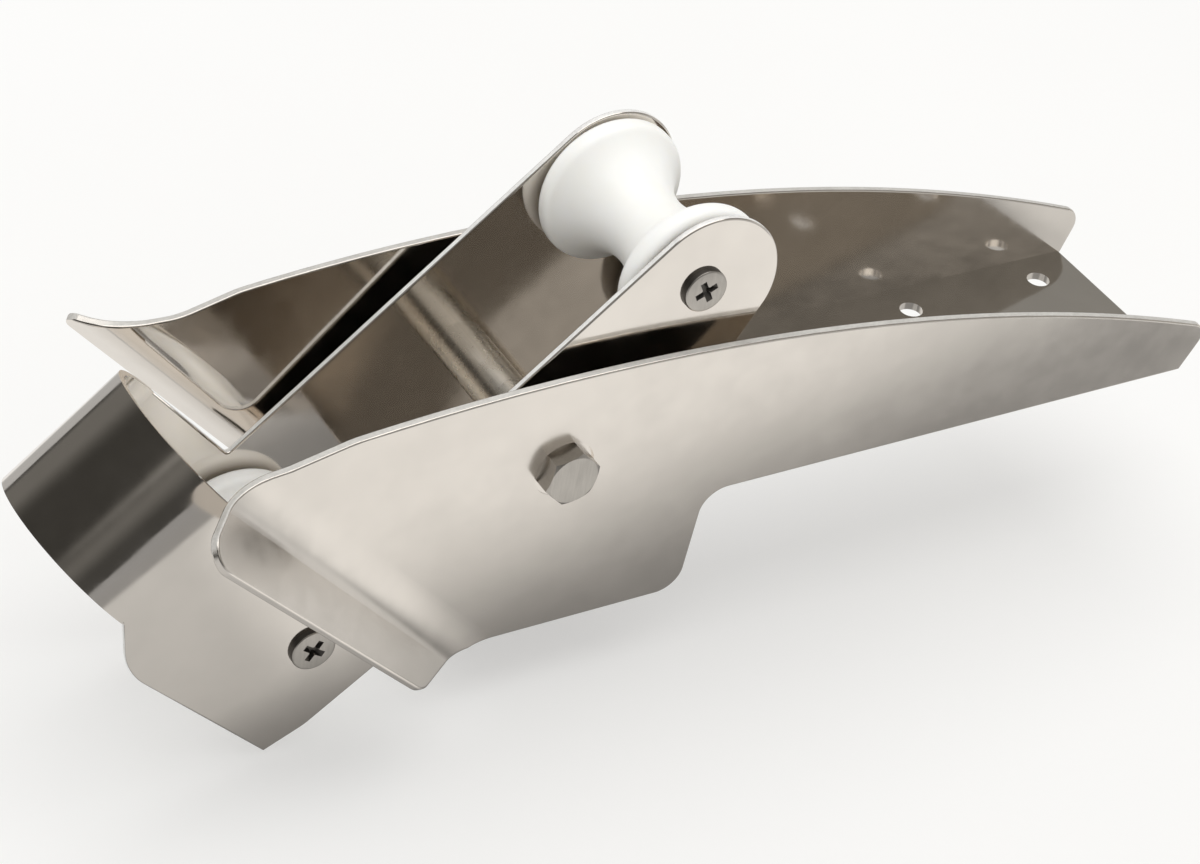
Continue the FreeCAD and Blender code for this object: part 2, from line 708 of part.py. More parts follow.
def is_circle(edge, radius):
    return edge.Curve.TypeId == "Part::GeomCircle" and abs(edge.Curve.Radius - radius) < CLOSE


def place_at_axle(thing, along):
    """Puts a piece that is drawn about an axle on the tilted cradle."""
    place(
        thing,
        along="pivot_long + %s * cos(rest_tilt) + axle_height * sin(rest_tilt)" % along,
        up="pivot_height - %s * sin(rest_tilt) + axle_height * cos(rest_tilt)" % along,
        axis=(0, 1, 0),
        angle="rest_tilt",
    )


def make_axle(name, along):
    axle = ring(name, "axle_radius", "screw_radius + screw_slack", "-1 * " + cradle_inside, "2 * " + cradle_inside)
    place_at_axle(axle, along)
    return axle


def make_screws(name, along, recess_turn):
    """Two cross recessed screws whose heads bear on the cradle's side plates."""
    body = new_body(name + "_port")
    section = sketch_on(body, "XY_Plane", name + "_section")
    face = "(cradle_width / 2)"
    draw_outline(section, [
        ("0", face + " - screw_length"),
        ("screw_radius", face + " - screw_length"),
        ("screw_radius", face),
        ("screw_head_radius", face),
        ("screw_head_radius", face + " + screw_head_height"),
        ("0", face + " + screw_head_height"),
    ])
    turn(body, "Revolution", section, "V_Axis")
    top = measure(face + " + screw_head_height")
    head = measure("screw_head_radius")
    round_edges(
        body,
        name + "_rim",
        lambda edge: is_circle(edge, head) and abs(edge.Curve.Center.y - top) < CLOSE,
        "screw_head_round",
    )
    recess = sketch_on(
        body,
        "XZ_Plane",
        name + "_recess",
        ("0", "0", "-1 * (%s + screw_head_height)" % face),
        (0, 0, 1),
        recess_turn,
    )
    draw_outline(recess, cross("recess_reach", "recess_width / 2"))
    add_feature(body, "Pocket", recess, "recess_depth", backward=True)
    group = pair(name, body, mirrored(name + "_starboard", body))
    place_at_axle(group, along)
    return group


def cross(reach, half_arm):
    """The twelve corners of an upright cross."""
    quarter = [(reach, "-" + half_arm), (reach, half_arm), (half_arm, half_arm)]
    corners = []
    for turn_of in range(4):
        corners += quarter
        quarter = [("-1 * (%s)" % y, x) for x, y in quarter]
    return corners


def make_washers(name, along):
    start = "(%s - washer_gauge)" % cradle_inside
    port = ring(name + "_port", "washer_radius", "axle_radius + washer_slack", start, "washer_gauge")
    group = pair(name, port, mirrored(name + "_starboard", port))
    place_at_axle(group, along)
    return group


def make_hinge_tube():
    tube = ring("hinge_tube", "hinge_tube_radius", tube_bore, "-1 * " + cradle_inside, "2 * " + cradle_inside)
    place(tube, along="pivot_long", up="pivot_height")
    return tube


def make_nut_insert():
    """The nylon ring in the nut's collar, a little below its rim."""
    start = "-1 * (%s + nut_height + collar_height - nylon_lip)" % bolt_seat
    insert = ring("pivot_nut_insert", "collar_radius - collar_wall", tube_bore, start, "collar_height - nylon_lip")
    place(insert, along="pivot_long", up="pivot_height")
    return insert


port_cheek = make_cheek("port_cheek", "port")
starboard_twin = make_cheek("starboard_twin", "starboard")
cradle_port_cheek = make_cradle_port_cheek()
pieces = [
    make_base_plate(),
    port_cheek,
    mirrored("starboard_cheek", starboard_twin),
    make_pivot_bolt(),
    make_pivot_nut(),
    make_nut_insert(),
    make_spacer("port_pivot_spacer"),
    mirrored("starboard_pivot_spacer", doc.getObject("port_pivot_spacer")),
    make_hinge_tube(),
    cradle_port_cheek,
    mirrored("cradle_starboard_cheek", cradle_port_cheek),
    make_cradle_floor(),
    make_nose_hood(),
]
for end, along, recess_turn in (
    ("rear", "-rear_axle_back", "rear_recess_turn"),
    ("front", front_axle_long, "front_recess_turn"),
):
    pieces += [
        make_roller(end + "_roller", along),
        make_axle(end + "_axle", along),
        make_screws(end + "_axle_screws", along, recess_turn),
        make_washers(end + "_roller_washers", along),
    ]
doc.recompute()

for thing in doc.Objects:
    if "Invalid" in thing.State or "Error" in thing.State:
        raise RuntimeError(thing.Name + " failed")
for piece in pieces:
    if piece.Shape.isNull() or not piece.Shape.isValid() or not piece.Shape.Solids:
        raise RuntimeError(piece.Label + " is not a valid solid")
for piece in pieces:
    piece.Shape.exportStep(os.path.join("parts", piece.Label + ".step"))
    print(piece.Label, round(piece.Shape.Volume), piece.Shape.BoundBox)
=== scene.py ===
"""Dresses a tilting bow roller of polished stainless steel with two white nylon rollers.

All lengths are metres in the part's own frame: +X forward over the bow, +Y to port, +Z up,
with the origin on the deck face in the middle of the four deck bolts.
"""

import math

import bmesh
import bpy
from bpy.props import FloatProperty, FloatVectorProperty, IntProperty, PointerProperty
from mathutils import Matrix, Vector
from mathutils.geometry import tessellate_polygon


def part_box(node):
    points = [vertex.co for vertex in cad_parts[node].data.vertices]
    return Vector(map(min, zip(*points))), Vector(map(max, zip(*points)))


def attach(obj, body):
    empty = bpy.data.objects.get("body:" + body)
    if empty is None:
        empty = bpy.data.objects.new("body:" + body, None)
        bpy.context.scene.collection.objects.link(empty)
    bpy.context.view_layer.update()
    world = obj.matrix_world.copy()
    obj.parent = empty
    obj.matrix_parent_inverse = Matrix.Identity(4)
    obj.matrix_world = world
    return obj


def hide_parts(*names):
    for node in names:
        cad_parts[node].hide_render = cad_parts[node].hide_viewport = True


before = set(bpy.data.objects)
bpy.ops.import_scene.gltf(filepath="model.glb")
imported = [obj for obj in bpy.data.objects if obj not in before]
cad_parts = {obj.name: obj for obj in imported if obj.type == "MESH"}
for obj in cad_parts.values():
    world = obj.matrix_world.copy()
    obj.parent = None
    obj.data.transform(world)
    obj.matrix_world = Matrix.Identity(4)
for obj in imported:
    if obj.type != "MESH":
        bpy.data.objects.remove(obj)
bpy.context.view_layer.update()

bl_info = {
    "name": "Tilting Bow Roller",
    "version": (1, 0, 0),
    "blender": (4, 5, 0),
    "location": "View3D > Sidebar > Bow Roller",
    "description": "Finishes and fine detail for a tilting bow roller",
    "category": "Object",
}

# pieces that share a finish or a shape
CHANNEL_CHEEKS = ("port_cheek", "starboard_cheek")
CRADLE_CHEEKS = ("cradle_port_cheek", "cradle_starboard_cheek")
ROLLERS = ("rear_roller", "front_roller")
SCREW_NODES = ("rear_axle_screws", "front_axle_screws")
TUBES = (
    "hinge_tube", "rear_axle", "front_axle", "port_pivot_spacer", "starboard_pivot_spacer",
    "rear_roller_washers", "front_roller_washers",
)

BLACK = (0.0, 0.0, 0.0, 1.0)
WHITE = (1.0, 1.0, 1.0, 1.0)

# painted shade on the floor that only the steel's reflections see, standing in for the object's shadow near
# it and a darker room further off: where each band begins and ends in metres, and its brightness at both
PAINTED_FLOOR_SHADE = {
    "beside": (0.100, 0.165, 0.31, 1.0),
    "ahead": (0.262, 0.31, 1.0, 0.66),
    "abaft": (-0.17, -0.13, 0.75, 0.0),
    "under": (0.055, 0.085, 0.66, 0.0),
    "lee side": (-0.02, -0.04, 0.0, 0.95),
    "lee end": (0.28, 0.30, 0.0, 1.0),
    "wide": (0.265, 0.33, 1.0, 0.52),
}
# how much the bands draw in towards the bow
BAND_TAPER = 0.22

# the room as the steel mirrors it: where each part begins and ends in its direction, and its share at both
ROOM_PARTS = {
    "beside": (-0.6, 0.3, 0.0, 1.0),
    "ahead": (0.5, 0.72, 0.0, 1.0),
    "middle": (-0.45, -0.3, 0.0, 1.0),
    "high": (0.44, 0.54, 0.0, 1.0),
    "port": (0.45, 0.62, 0.0, 1.0),
    "ground": (0.15, 0.40, 1.0, 0.0),
    "abaft": (-0.5, -0.4, 1.0, 0.0),
    "roof": (0.40, 0.48, 0.0, 1.0),
    "horizon": (-0.01, 0.10, 0.0, 1.0),
    "behind": (-0.5, -0.2, 0.0, 1.0),
    "aside": (0.3, 0.5, 1.0, 0.0),
    "astern": (-0.75, -0.5, 1.0, 0.0),
    "glow": (0.15, 0.45, 1.0, 0.0),
}


def middle_of(node):
    """The middle of a node's box."""
    low, high = (Vector(corner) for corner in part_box(node))
    return (low + high) / 2


def shade(name, description, default):
    return FloatVectorProperty(
        name=name, description=description, subtype="COLOR", min=0.0, max=1.0, default=default,
    )


def length(name, description, default):
    return FloatProperty(
        name=name, description=description, unit="LENGTH", subtype="DISTANCE", default=default,
    )


def portion(name, description, default):
    return FloatProperty(name=name, description=description, min=0.0, max=1.0, default=default)


def rotation(name, description, degrees):
    return FloatProperty(name=name, description=description, unit="ROTATION", default=math.radians(degrees))


class StageSettings(bpy.types.PropertyGroup):
    """Camera, floor and light"""

    camera_place: FloatVectorProperty(
        name="Camera Place", description="Where the camera stands", subtype="TRANSLATION", unit="LENGTH",
        default=(0.7044, 0.7362, 0.6794),
    )
    camera_right: FloatVectorProperty(
        name="Camera Right", description="Direction of the picture's right hand side", subtype="DIRECTION",
        default=(-0.8601, 0.4933, 0.1299),
    )
    camera_back: FloatVectorProperty(
        name="Camera Back", description="Direction from the object to the camera", subtype="DIRECTION",
        default=(0.4644, 0.6518, 0.5996),
    )
    lens: FloatProperty(
        name="Lens", description="Focal length on a 36 mm sensor", unit="CAMERA", default=96.73,
    )
    floor_height: length("Floor Height", "Height of the floor, just below the nose", -0.074)
    floor_forward: length("Floor Forward", "How far forward the floor's middle lies", 0.15)
    floor_radius: length("Floor Radius", "Radius of the round floor", 5.0)
    floor_colour: shade("Floor Colour", "Pale matt floor", (0.93, 0.925, 0.91))
    softbox_place: FloatVectorProperty(
        name="Softbox Place", description="Middle of the softbox over the object", subtype="TRANSLATION",
        unit="LENGTH", default=(0.1, -0.1, 1.5),
    )
    softbox_side: length("Softbox Side", "Length of the softbox's sides", 1.8)
    softbox_power: FloatProperty(
        name="Softbox Power", description="Power of the softbox", unit="POWER", default=14.0,
    )
    fill_colour: shade("Fill Colour", "Soft light that fills the room", (0.66, 0.655, 0.64))
    back_colour: shade("Back Colour", "Room abaft the object, as mirrored", (0.27, 0.265, 0.25))
    room_colour: shade("Room Colour", "Room beside the object, as mirrored", (0.16, 0.155, 0.145))
    dark_colour: shade("Dark Colour", "Darkest end of the room, ahead of the bow", (0.045, 0.043, 0.039))
    window_colour: shade("Window Colour", "Paler side of the room, to port", (0.44, 0.43, 0.41))
    far_colour: shade("Far Colour", "Horizon, as mirrored", (0.06, 0.058, 0.054))
    glow_colour: shade("Glow Colour", "Pale glow low down astern, as mirrored", (0.62, 0.61, 0.59))


class SteelSettings(bpy.types.PropertyGroup):
    """Colours and finish of the stainless steel"""

    sheet_colour: shade("Sheet Colour", "Polished sheet", (0.80, 0.75, 0.69))
    # painted highlight: the cradle's cut edges get a near-white, almost non-metal colour that stands in for
    # the glint on their polished rounding
    edge_highlight_colour: shade("Edge Colour", "Polished edges of the cradle", (0.94, 0.93, 0.91))
    # partly the channel's grey ground edges, partly painted highlight: pale and almost non-metal on the
    # edges that face up
    rim_and_highlight_colour: shade("Rim Colour", "Ground edges of the channel", (0.66, 0.64, 0.605))
    tube_colour: shade("Tube Colour", "Drawn tube and washers", (0.80, 0.75, 0.67))
    fastener_colour: shade("Fastener Colour", "Bolt, nut and screws", (0.50, 0.47, 0.43))
    # painted shade: darker steel for the screws' recess and rim, where shade falls
    recess_shade_colour: shade("Recess Colour", "Recess and rim of the screws", (0.15, 0.141, 0.129))
    mottle: portion("Mottle", "How much the polish varies in tone", 0.045)
    sheet_roughness: portion("Sheet Roughness", "Roughness of the polished sheet", 0.10)
    satin_roughness: portion("Satin Roughness", "Added roughness of the channel's outer faces", 0.10)
    tube_roughness: portion("Tube Roughness", "Roughness of the drawn tube", 0.28)
    fastener_roughness: portion("Fastener Roughness", "Roughness of bolt and nut", 0.34)
    screw_roughness: portion("Screw Roughness", "Roughness of the axle screws", 0.306)
    recess_roughness: portion("Recess Roughness", "Roughness of the screws' recess", 0.5)


class CradleSettings(bpy.types.PropertyGroup):
    """The cradle's side plates and hood, as lengths along and above the cradle with the pivot as origin"""

    tilt: rotation("Tilt", "How far the cradle rests nose down", 40.6)
    half_width: length("Half Width", "From the middle to the outer faces", 0.035)
    gauge: length("Gauge", "Thickness of the sheet", 0.0025)
    edge_round: length("Edge Rounding", "Rounding of the plates' edges", 0.0007)
    top: length("Top", "Height of the plates' top edge", 0.036)
    depth: length("Depth", "Depth of the plates below the pivot", 0.0205)
    head_back: length("Head Back", "From the pivot back to the middle of the round head", 0.076)
    head_radius: length("Head Radius", "Radius of the round head", 0.0265)
    heel_back: length("Heel Back", "From the pivot back to where the lower edge begins", 0.070)
    belly: length("Belly", "From the pivot to where the lower edge begins to rise", 0.057)
    nose: length("Nose", "From the pivot to the nose's lower corner", 0.1397)
    nose_drop: length("Nose Drop", "Depth of that corner below the pivot", 0.0115)
    chin_back: length("Chin Back", "From the nose's lower corner back to the chin", 0.0157)
    chin_drop: length("Chin Drop", "Depth of the chin below the pivot", 0.0158)
    chin_round: length("Chin Rounding", "Radius of the chin's curve", 0.020)
    brow_out: length("Brow Out", "From the nose's lower corner out to the brow", 0.0059)
    brow_height: length("Brow Height", "Height of the brow", 0.0615)
    brow_round: length("Brow Rounding", "Radius of the brow's curve", 0.025)
    hood_rear: length("Hood Rear", "From the pivot to the hood's rear rim", 0.082)
    hood_front: length("Hood Front", "From the pivot to the hood's front rim", 0.133)
    hood_spring: length("Hood Spring", "Height at which the hood's curve begins", 0.0803)
    hood_rise: length("Hood Rise", "Height of the hood above that", 0.035)
    seam_edge: length("Seam Edge", "Straight edge between the brow and the hood", 0.0015)
    foot_round: length("Foot Rounding", "Rounding where the top edge meets the hood", 0.0016)
    bore: length("Bore", "Radius of the pivot's hole", 0.00608)
    screw_hole: length("Screw Hole", "Radius of the axle screws' holes", 0.0041)
    axle_height: length("Axle Height", "Height of the rollers' axles", 0.011)
    rear_axle: length("Rear Axle", "From the pivot back to the rear axle", 0.074)
    front_axle: length("Front Axle", "From the nose's lower corner back to the front axle", 0.0382)


class RollerSettings(bpy.types.PropertyGroup):
    """Finish of the nylon rollers"""

    nylon_colour: shade("Nylon Colour", "White nylon", (0.985, 0.985, 0.965))
    nylon_shade: shade("Nylon Shade", "Slightly yellowed nylon", (0.955, 0.945, 0.885))
    nylon_roughness: portion("Nylon Roughness", "Roughness of the turned nylon", 0.33)


class ScrewSettings(bpy.types.PropertyGroup):
    """The four axle screws with their cross recess"""

    head_radius: length("Head Radius", "Radius of the head", 0.008)
    head_height: length("Head Height", "Height of the head at its middle", 0.0022)
    plain_height: length("Plain Height", "Height of the plain head that this one stands for", 0.0025)
    rim_round: length("Rim Rounding", "Rounding of the head's rim", 0.0007)
    recess_reach: length("Recess Reach", "Half of the recess's span", 0.0046)
    recess_width: length("Recess Width", "Width of the recess's arms at the face", 0.0023)
    recess_depth: length("Recess Depth", "Depth of the recess", 0.0021)
    rear_turn: rotation("Rear Turn", "Turn of the rear screws' recess", 25.6)
    front_turn: rotation("Front Turn", "Turn of the front screws' recess", 55.8)
    facets: IntProperty(name="Facets", description="Sides round the head", min=12, default=96)


class ThreadSettings(bpy.types.PropertyGroup):
    """The thread on the end of the pivot bolt"""

    pitch: length("Pitch", "Distance from turn to turn", 0.00175)
    root_radius: length("Root Radius", "Radius at the foot of the thread", 0.0059)
    crest_radius: length("Crest Radius", "Radius at the top of the thread", 0.0063)
    facets: IntProperty(name="Facets", description="Sides for each turn", min=12, default=48)


class NodeMaker:
    """Adds and wires the nodes of one tree.

    Each input is given a value or a wire, by its name or, as i0 and i1, by its number.
    """

    def __init__(self, tree):
        self.tree = tree

    def add(self, kind, output=0, settings=None, **inputs):
        node = self.tree.nodes.new("ShaderNode" + kind)
        for name, value in (settings or {}).items():
            setattr(node, name, value)
        for name, value in inputs.items():
            self.feed(node.inputs[int(name[1:]) if name[1:].isdigit() else name.replace("_", " ")], value)
        return node.outputs[output]

    def feed(self, socket, value):
        if isinstance(value, bpy.types.NodeSocket):
            self.tree.links.new(value, socket)
        else:
            socket.default_value = value

    def math(self, operation, first, second=0.0):
        return self.add("Math", settings={"operation": operation}, i0=first, i1=second)

    def spread(self, value, low, high, new_low, new_high, smooth=False):
        kind = {"interpolation_type": "SMOOTHSTEP" if smooth else "LINEAR"}
        return self.add("MapRange", settings=kind, i0=value, i1=low, i2=high, i3=new_low, i4=new_high)

    def blend(self, factor, first, second):
        return self.add("Mix", output=2, settings={"data_type": "RGBA"}, i0=factor, i6=first, i7=second)


def new_group(name, inputs, outputs):
    """A shader node group with named sockets; gives a maker for it, its inputs and its outputs."""
    group = bpy.data.node_groups.new(name, "ShaderNodeTree")
    for socket, kind, default in inputs:
        item = group.interface.new_socket(socket, in_out="INPUT", socket_type="NodeSocket" + kind)
        if default is not None:
            item.default_value = default
    for socket, kind in outputs:
        group.interface.new_socket(socket, in_out="OUTPUT", socket_type="NodeSocket" + kind)
    given = group.nodes.new("NodeGroupInput").outputs
    result = group.nodes.new("NodeGroupOutput").inputs
    return NodeMaker(group), given, result


def build_clouds():
    """Soft patches that vary between two numbers, for smudges and uneven polish."""
    make, given, result = new_group(
        "soft clouds",
        (("Place", "Vector", None), ("Size", "Float", 0.03), ("Low", "Float", 0.0), ("High", "Float", 1.0)),
        (("Value", "Float"),),
    )
    scale = make.math("DIVIDE", 1.0, given["Size"])
    cloud = make.add("TexNoise", Vector=given["Place"], Scale=scale, Detail=3.0, Roughness=0.55)
    make.feed(result["Value"], make.spread(cloud, 0.3, 0.7, given["Low"], given["High"], smooth=True))


def build_grain():
    """Fine lines that run across the stretch, left by a brush, a drawing die or a lathe."""
    make, given, result = new_group(
        "drawn grain",
        (("Place", "Vector", None), ("Lines", "Vector", (1.0, 1.0, 1.0)), ("Strength", "Float", 1.0)),
        (("Height", "Float"), ("Tone", "Float")),
    )
    place = make.add("VectorMath", settings={"operation": "MULTIPLY"}, i0=given["Place"], i1=given["Lines"])
    fine = make.add("TexNoise", Vector=place, Scale=1.0, Detail=4.0, Roughness=0.7)
    coarse = make.add("TexNoise", Vector=place, Scale=0.23, Detail=2.0, Roughness=0.5)
    both = make.math("ADD", make.math("MULTIPLY", fine, 0.65), make.math("MULTIPLY", coarse, 0.35))
    make.feed(result["Height"], make.math("MULTIPLY", both, given["Strength"]))
    make.feed(result["Tone"], make.spread(both, 0.35, 0.65, 0.0, 1.0))


def build_scratches():
    """Sparse hairline scratches from handling, in two directions."""
    make, given, result = new_group(
        "hairline scratches",
        (("Place", "Vector", None), ("Spacing", "Float", 0.02), ("Fineness", "Float", 0.02)),
        (("Mask", "Float"),),
    )
    scale = make.math("DIVIDE", 1.0, given["Spacing"])
    masks = []
    for turn in ((0.4, 0.9, 0.2), (1.1, 0.3, 1.9)):
        warp = make.add("Mapping", Vector=given["Place"], Rotation=turn, Scale=(1.0, 0.16, 1.0))
        edge = {"feature": "DISTANCE_TO_EDGE"}
        cells = make.add("TexVoronoi", settings=edge, Vector=warp, Scale=scale, Randomness=1.0)
        line = make.math("LESS_THAN", cells, given["Fineness"])
        gaps = make.math("MULTIPLY", scale, 0.8)
        gate = make.add("TexNoise", Vector=given["Place"], Scale=gaps, Detail=1.0)
        masks.append(make.math("MULTIPLY", line, make.spread(gate, 0.55, 0.62, 0.0, 1.0)))
    make.feed(result["Mask"], make.math("MAXIMUM", *masks))


def build_cut_edge():
    """Tells the cut edges of a sheet from its faces."""
    make, given, result = new_group(
        "cut edge",
        (("Normal", "Vector", None), ("Face", "Vector", (0.0, 1.0, 0.0)), ("Up", "Float", 0.0)),
        (("Mask", "Float"),),
    )
    facing = make.add(
        "VectorMath", output=1, settings={"operation": "DOT_PRODUCT"}, i0=given["Normal"], i1=given["Face"],
    )
    aside = make.spread(make.math("ABSOLUTE", facing), 0.45, 0.25, 0.0, 1.0)
    height = make.add("SeparateXYZ", output=2, Vector=given["Normal"])
    upward = make.spread(height, make.math("SUBTRACT", given["Up"], 0.1), given["Up"], 0.0, 1.0)
    make.feed(result["Mask"], make.math("MULTIPLY", aside, upward))


def new_material(name):
    """An empty material; gives it with a maker for its nodes and its shader."""
    material = bpy.data.materials.new(name)
    material.use_nodes = True
    return material, NodeMaker(material.node_tree), material.node_tree.nodes["Principled BSDF"].inputs


def use_group(make, group, output, **inputs):
    """One output of a group, placed in the material with these inputs."""
    node = make.tree.nodes.new("ShaderNodeGroup")
    node.node_tree = bpy.data.node_groups[group]
    for name, value in inputs.items():
        make.feed(node.inputs[name], value)
    return node.outputs[output]


def object_place(make, output="Object"):
    return make.tree.nodes.new("ShaderNodeTexCoord").outputs[output]


def rough_skin(make, shader, height, distance):
    """Gives the surface fine relief."""
    relief = make.add("Bump", Height=height, Distance=distance)
    make.feed(shader["Normal"], relief)


def tinted(colour, factor=1.0):
    return tuple(min(1.0, part * factor) for part in colour) + (1.0,)


def outer_side(make):
    """One on the side of the sheet that faces away from the middle of the part."""
    across = make.add("SeparateXYZ", output=1, Vector=object_place(make, "Normal"))
    place = make.add("SeparateXYZ", output=1, Vector=object_place(make))
    side = make.spread(place, -0.001, 0.001, -1.0, 1.0)
    return make.spread(make.math("MULTIPLY", across, side), 0.0, 0.3, 0.0, 1.0)


def sheet_steel(name, rim=None, up=-2.0, satin=False):
    """Mirror polished sheet with a soft bloom, and cut edges in the rim colour where one is given.

    The colour is on the edges that face higher than up, which is all of them where up isn't given.
    """
    steel = bpy.context.scene.bow_roller_steel
    material, make, shader = new_material(name)
    place = object_place(make)
    bloom = use_group(make, "soft clouds", "Value", Place=place, Size=0.034)
    smudge = use_group(
        make, "soft clouds", "Value", Place=place, Size=0.011,
        Low=steel.sheet_roughness * 0.75, High=steel.sheet_roughness * 1.3,
    )
    lines = use_group(make, "drawn grain", "Height", Place=place, Lines=(60.0, 900.0, 1500.0))
    scratches = use_group(make, "hairline scratches", "Mask", Place=place, Spacing=0.03, Fineness=0.004)
    dull = tinted(steel.sheet_colour, 1 - steel.mottle)
    colour = make.blend(bloom, dull, tinted(steel.sheet_colour, 1 + steel.mottle / 2))
    roughness = make.math("ADD", smudge, make.math("MULTIPLY", scratches, 0.03))
    if satin:
        satin_skin = make.math("MULTIPLY", outer_side(make), steel.satin_roughness)
        roughness = make.math("ADD", roughness, satin_skin)
    metal = 1.0
    # painted highlight: the cut edges take the rim colour, rougher and almost non-metal, so that they show
    # pale where light falls on them
    if rim:
        facing = object_place(make, "Normal")
        edge = use_group(make, "cut edge", "Mask", Normal=facing, Face=(0.0, 1.0, 0.0), Up=up)
        speckle = use_group(make, "drawn grain", "Tone", Place=place, Lines=(700.0, 1400.0, 1400.0))
        colour = make.blend(edge, colour, make.blend(speckle, tinted(rim, 0.8), tinted(rim, 1.06)))
        roughness = make.math("ADD", roughness, make.math("MULTIPLY", edge, 0.3))
        metal = make.spread(edge, 0.0, 1.0, 1.0, 0.15)
    make.feed(shader["Base Color"], colour)
    make.feed(shader["Metallic"], metal)
    make.feed(shader["Roughness"], roughness)
    wave = use_group(make, "soft clouds", "Value", Place=place, Size=0.05)
    height = make.math("ADD", wave, make.math("MULTIPLY", lines, 0.02))
    rough_skin(make, shader, height, distance=0.00005)
    return material


def worked_steel(name, colour, roughness, lines, relief):
    """Drawn or turned steel with its grain along the stretch."""
    material, make, shader = new_material(name)
    place = object_place(make)
    tone = use_group(make, "drawn grain", "Tone", Place=place, Lines=lines)
    height = use_group(make, "drawn grain", "Height", Place=place, Lines=lines)
    stain = use_group(make, "soft clouds", "Value", Place=place, Size=0.006, Low=0.9, High=1.12)
    base = make.blend(tone, tinted(colour, 0.9), tinted(colour, 1.07))
    make.feed(shader["Base Color"], base)
    shader["Metallic"].default_value = 1.0
    make.feed(shader["Roughness"], make.math("MULTIPLY", stain, roughness))
    rough_skin(make, shader, height, relief)
    return material


def nylon(name):
    """Turned white nylon, a little marbled and yellowed, with lathe marks round the axle."""
    roller = bpy.context.scene.bow_roller_rollers
    material, make, shader = new_material(name)
    place = object_place(make)
    clouds = use_group(make, "soft clouds", "Value", Place=place, Size=0.018)
    marble = make.math("MULTIPLY", clouds, 0.55)
    colour = make.blend(marble, tinted(roller.nylon_colour), tinted(roller.nylon_shade))
    make.feed(shader["Base Color"], colour)
    gloss = use_group(
        make, "soft clouds", "Value", Place=place, Size=0.02,
        Low=roller.nylon_roughness * 0.92, High=roller.nylon_roughness * 1.08,
    )
    make.feed(shader["Roughness"], gloss)
    turned = use_group(make, "drawn grain", "Height", Place=place, Lines=(20.0, 2600.0, 20.0))
    rough_skin(make, shader, turned, distance=0.000008)
    shader["Subsurface Weight"].default_value = 0.12
    shader["Subsurface Radius"].default_value = (0.004, 0.0035, 0.0028)
    shader["Subsurface Scale"].default_value = 1.0
    return material


def finish(nodes, material):
    """Gives nodes their material."""
    for name in nodes:
        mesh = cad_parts[name].data
        mesh.materials.clear()
        mesh.materials.append(material)


def add_piece(name, bm, material, body):
    """Turns a bmesh into a smooth piece that rides a body."""
    for face in bm.faces:
        face.smooth = True
    mesh = bpy.data.meshes.new(name)
    bm.to_mesh(mesh)
    bm.free()
    mesh.materials.append(material)
    piece = bpy.data.objects.new(name, mesh)
    bpy.context.scene.collection.objects.link(piece)
    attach(piece, body)
    return piece


class BOWROLLER_OT_groups(bpy.types.Operator):
    """Build the shared effects that the finishes are made from"""

    bl_idname = "bowroller.groups"
    bl_label = "Shared Effects"

    def execute(self, context):
        for build in (build_clouds, build_grain, build_scratches, build_cut_edge):
            build()
        return {"FINISHED"}


class BOWROLLER_OT_channel(bpy.types.Operator):
    """Finish the deck channel: base plate and flared cheeks"""

    bl_idname = "bowroller.channel"
    bl_label = "Deck Channel"

    def execute(self, context):
        steel = context.scene.bow_roller_steel
        finish(["base_plate"], sheet_steel("base_steel"))
        finish(CHANNEL_CHEEKS, sheet_steel("cheek_steel", rim=steel.rim_and_highlight_colour, up=0.3, satin=True))
        return {"FINISHED"}


class BOWROLLER_OT_cradle(bpy.types.Operator):
    """Build the tilting cradle's side plates and nose hood, and finish its floor"""

    bl_idname = "bowroller.cradle"
    bl_label = "Cradle"

    def execute(self, context):
        steel = context.scene.bow_roller_steel
        cradle = context.scene.bow_roller_cradle
        plate_steel = sheet_steel("cradle_steel", rim=steel.edge_highlight_colour)
        hood_steel = sheet_steel("hood_steel")
        finish(["cradle_floor"], hood_steel)
        for node, side in zip(CRADLE_CHEEKS, (1, -1)):
            bm = bmesh.new()
            add_plate(bm, cradle, side)
            plate = add_piece(node.replace("cheek", "plate"), bm, plate_steel, "cradle")
            # the flats are triangles and stay flat, and the rounded edges are smooth
            for face in plate.data.polygons:
                face.use_smooth = len(face.vertices) > 3
            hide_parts(node)
        bm = bmesh.new()
        add_hood(bm, cradle)
        hood = add_piece("hood_shell", bm, hood_steel, "cradle")
        hood.data.set_sharp_from_angle(angle=math.radians(40))
        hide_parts("nose_hood")
        return {"FINISHED"}


def cradle_point(cradle, along, across, above):
    """A place on the cradle as it rests, from its distances to the pivot."""
    pivot = middle_of("hinge_tube")
    lean = Vector((math.sin(cradle.tilt), 0.0, math.cos(cradle.tilt)))
    run = Vector((math.cos(cradle.tilt), 0.0, -math.sin(cradle.tilt)))
    return Vector((pivot.x, across, pivot.z)) + along * run + above * lean


def arc(middle, radius, start, end, steps):
    """Points on an arc, between two angles in degrees."""
    points = []
    for step in range(steps + 1):
        turn = math.radians(start + (end - start) * step / steps)
        points.append(Vector((middle[0] + radius * math.cos(turn), middle[1] + radius * math.sin(turn))))
    return points


def rounded(before, corner, after, radius, steps=10):
    """Points on the arc that rounds a corner."""
    before, corner, after = Vector(before), Vector(corner), Vector(after)
    back = (before - corner).normalized()
    on = (after - corner).normalized()
    half = back.angle(on) / 2
    middle = corner + (back + on).normalized() * radius / math.sin(half)
    first = corner + back * radius / math.tan(half) - middle
    last = corner + on * radius / math.tan(half) - middle
    turn = first.angle_signed(last)
    points = []
    for step in range(steps + 1):
        angle = -turn * step / steps
        points.append(middle + Matrix.Rotation(angle, 2) @ first)
    return points


